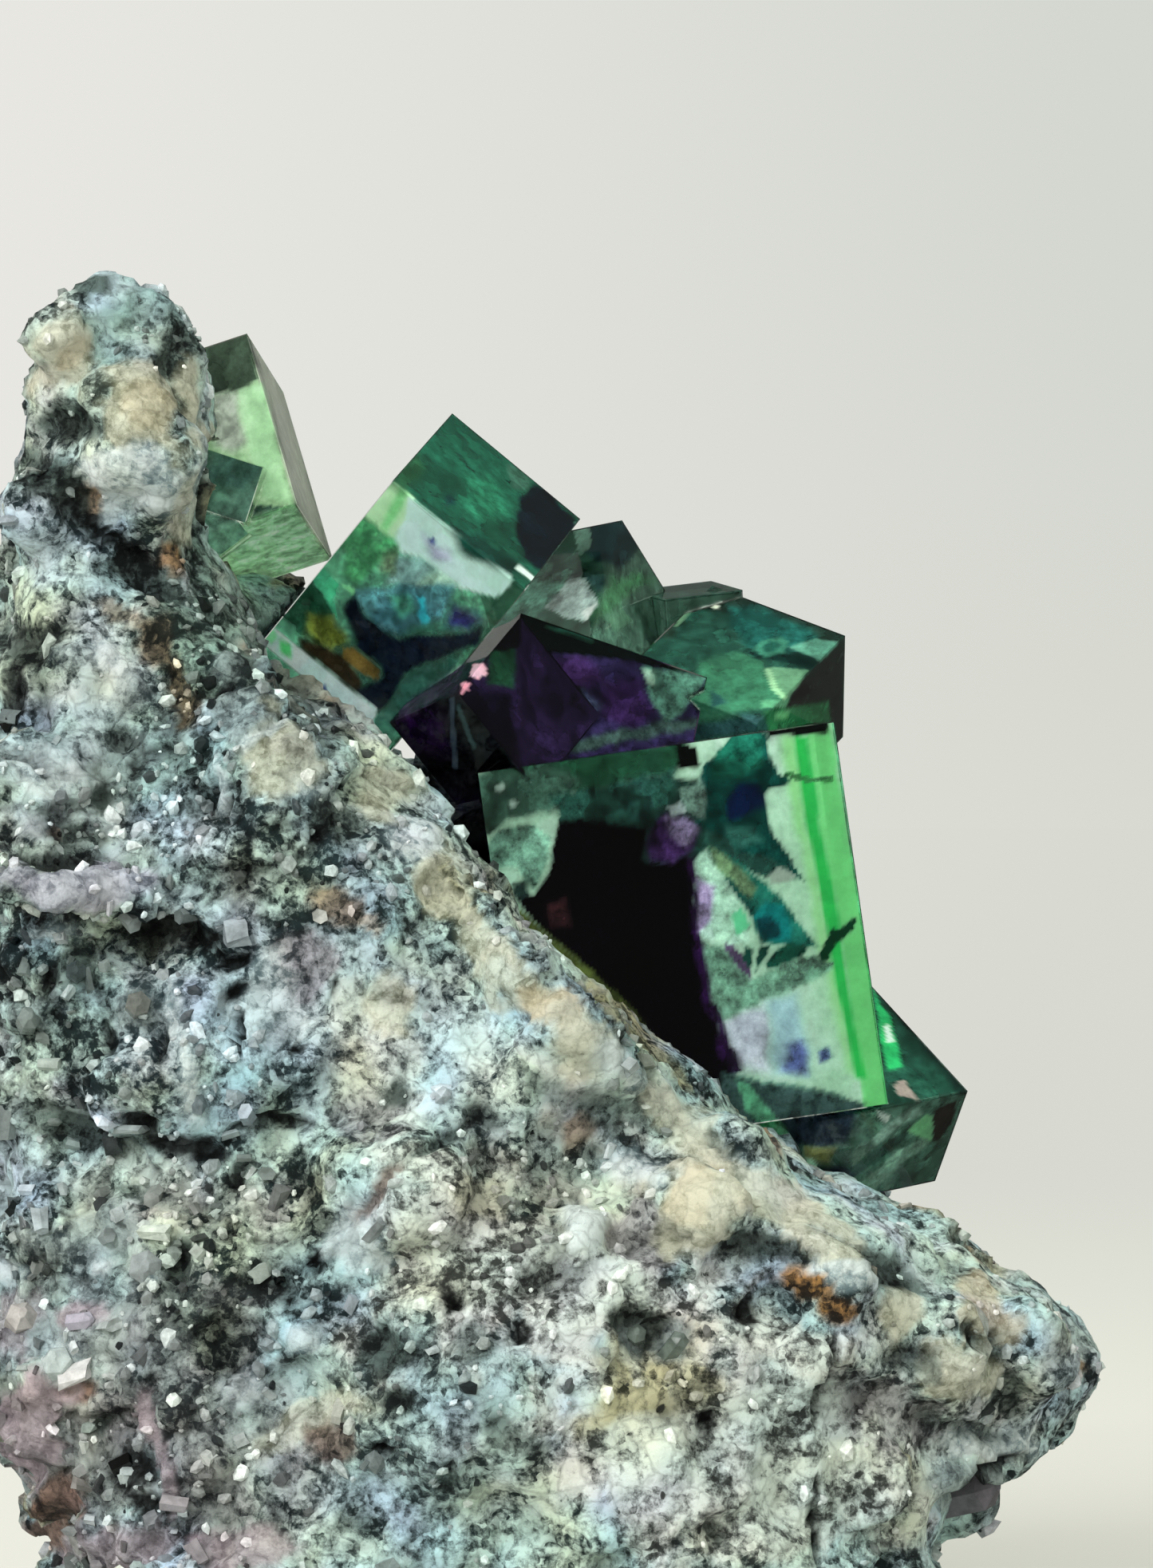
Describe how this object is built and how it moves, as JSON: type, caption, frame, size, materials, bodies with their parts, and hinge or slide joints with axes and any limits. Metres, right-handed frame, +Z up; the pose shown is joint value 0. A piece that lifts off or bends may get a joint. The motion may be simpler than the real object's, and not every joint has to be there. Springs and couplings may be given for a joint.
{
  "type": "fluorite specimen",
  "caption": "Mineral specimen: zoned green and purple fluorite cubes grown on the sloping side of a peaked lump of granular rock, cut flat below so that it stands",
  "frame": {"origin": "middle of the specimen's box seen from above, on the flat cut that it stands on", "axes": "+Z is up and is the longest side; +X is towards the foot of the slope that carries the crystals; +Y runs back along the slope, away from the side that the picture shows"},
  "size_m": [0.0584, 0.0456, 0.0717],
  "materials": {
    "stone": "broken granular rock, dull, with glassy grains",
    "fluorite": "clear green crystal, bright flat faces, purple at the heart",
    "pale_fluorite": "clear pale green crystal, bright flat faces"
  },
  "bodies": {
    "root": {"matrix": "stone", "fluorite_cluster": "fluorite", "fluorite_upper": "pale_fluorite"}
  },
  "joints": []
}
